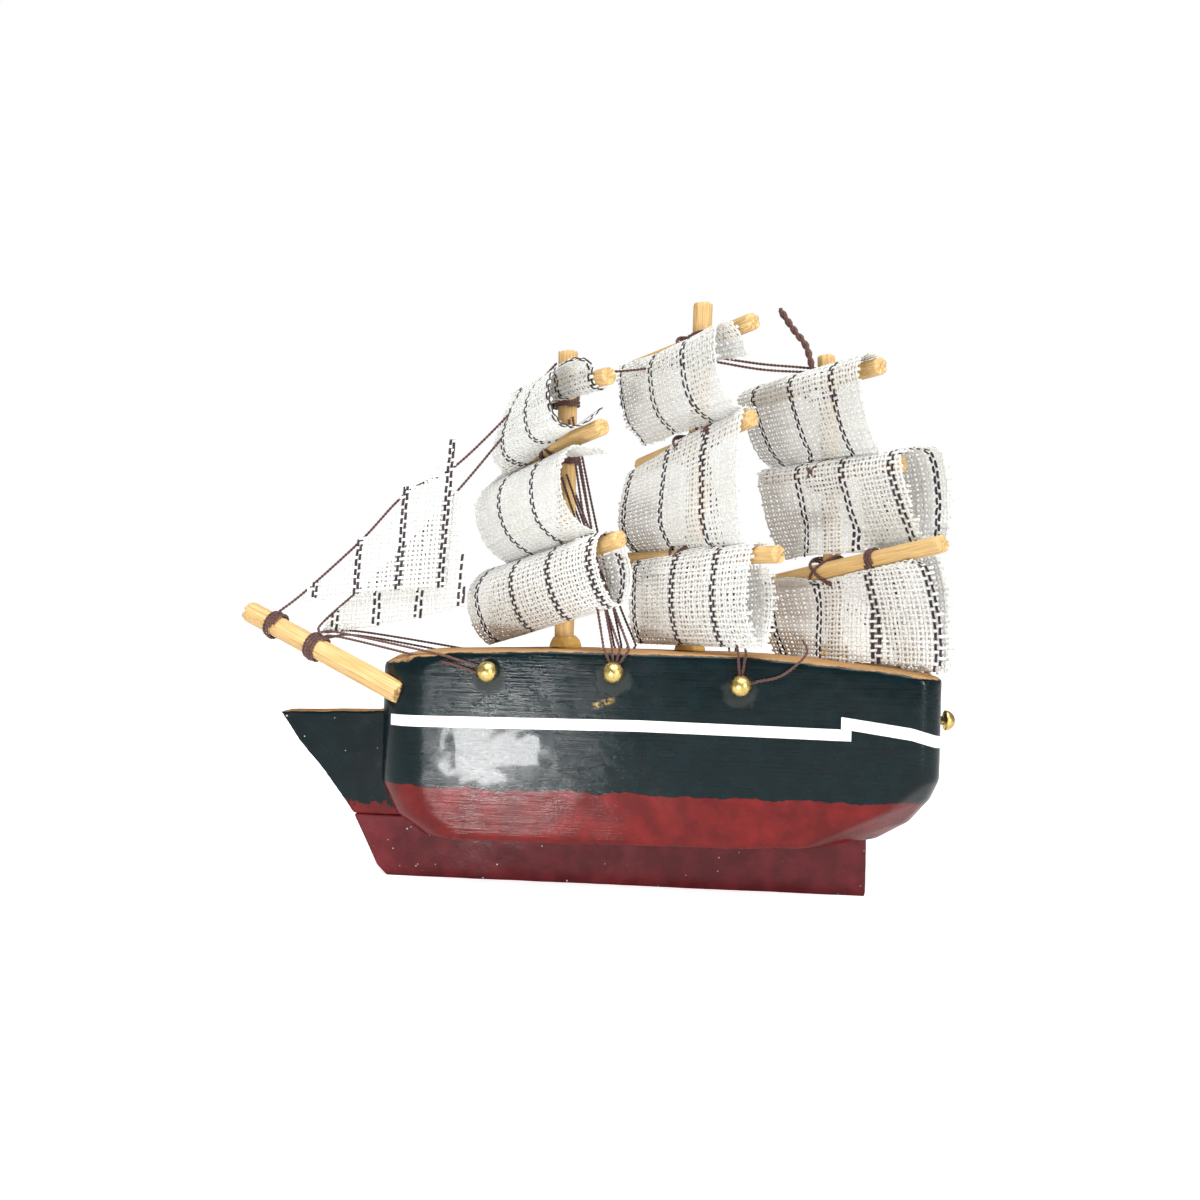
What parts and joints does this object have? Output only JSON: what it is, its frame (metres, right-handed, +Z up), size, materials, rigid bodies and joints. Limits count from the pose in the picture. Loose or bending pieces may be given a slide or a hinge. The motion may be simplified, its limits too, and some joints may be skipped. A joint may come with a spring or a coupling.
{
  "type": "model sailing ship",
  "caption": "Small three-masted wooden model sailing ship with striped cloth sails, bamboo spars, brass pins and thread rigging, resting on its flat keel.",
  "frame": {"origin": "middle of the keel's flat underside, on the surface the ship stands on", "axes": "-X towards the bow, +X towards the stern, -Y to port, +Z up along the masts"},
  "size_m": [0.0986, 0.0314, 0.0806],
  "materials": {
    "hull_paint": "gloss paint over wood, blue-black above and dark red below, bare wood deck",
    "stem_paint": "gloss paint over wood, blue-black above and dark red below",
    "keel_paint": "gloss paint, dark red",
    "white_tape": "smooth white tape",
    "brass": "polished",
    "bamboo": "bare split bamboo",
    "clear_glue": "glossy amber glue",
    "sail_cloth": "open plain weave with dark pairs of yarns",
    "rigging_thread": "two-ply twisted thread"
  },
  "bodies": {
    "root": {"hull_block": "hull_paint", "stem_piece": "stem_paint", "keel_board": "keel_paint", "port_stripe": "white_tape", "starboard_stripe": "white_tape", "stern_stripe": "white_tape", "port_pins": "brass", "starboard_pins": "brass", "stern_pin": "brass", "bowsprit": "bamboo", "fore_mast": "bamboo", "main_mast": "bamboo", "mizzen_mast": "bamboo", "mast_glue_beads": "clear_glue", "fore_upper_yard": "bamboo", "fore_middle_yard": "bamboo", "fore_lower_yard": "bamboo", "main_upper_yard": "bamboo", "main_middle_yard": "bamboo", "main_lower_yard": "bamboo", "mizzen_upper_yard": "bamboo", "mizzen_middle_yard": "bamboo", "mizzen_lower_yard": "bamboo", "fore_upper_lashing": "rigging_thread", "fore_middle_lashing": "rigging_thread", "fore_lower_lashing": "rigging_thread", "main_upper_lashing": "rigging_thread", "main_middle_lashing": "rigging_thread", "main_lower_lashing": "rigging_thread", "mizzen_upper_lashing": "rigging_thread", "mizzen_middle_lashing": "rigging_thread", "mizzen_lower_lashing": "rigging_thread", "fore_upper_sail": "sail_cloth", "fore_middle_sail": "sail_cloth", "fore_lower_sail": "sail_cloth", "main_upper_sail": "sail_cloth", "main_middle_sail": "sail_cloth", "main_lower_sail": "sail_cloth", "mizzen_upper_sail": "sail_cloth", "mizzen_middle_sail": "sail_cloth", "mizzen_lower_sail": "sail_cloth", "outer_jib": "sail_cloth", "inner_jib": "sail_cloth", "outer_bowsprit_lashing": "rigging_thread", "inner_bowsprit_lashing": "rigging_thread", "outer_jib_stay": "rigging_thread", "inner_jib_stay": "rigging_thread", "fore_main_stay": "rigging_thread", "main_mizzen_stays": "rigging_thread", "port_bow_guys": "rigging_thread", "starboard_bow_guys": "rigging_thread", "port_fore_backstays": "rigging_thread", "starboard_fore_backstays": "rigging_thread", "port_fore_shrouds": "rigging_thread", "starboard_fore_shrouds": "rigging_thread", "port_main_backstays": "rigging_thread", "starboard_main_backstays": "rigging_thread", "mizzen_backstays": "rigging_thread", "cord_tail": "rigging_thread", "loose_thread": "rigging_thread"}
  },
  "joints": []
}
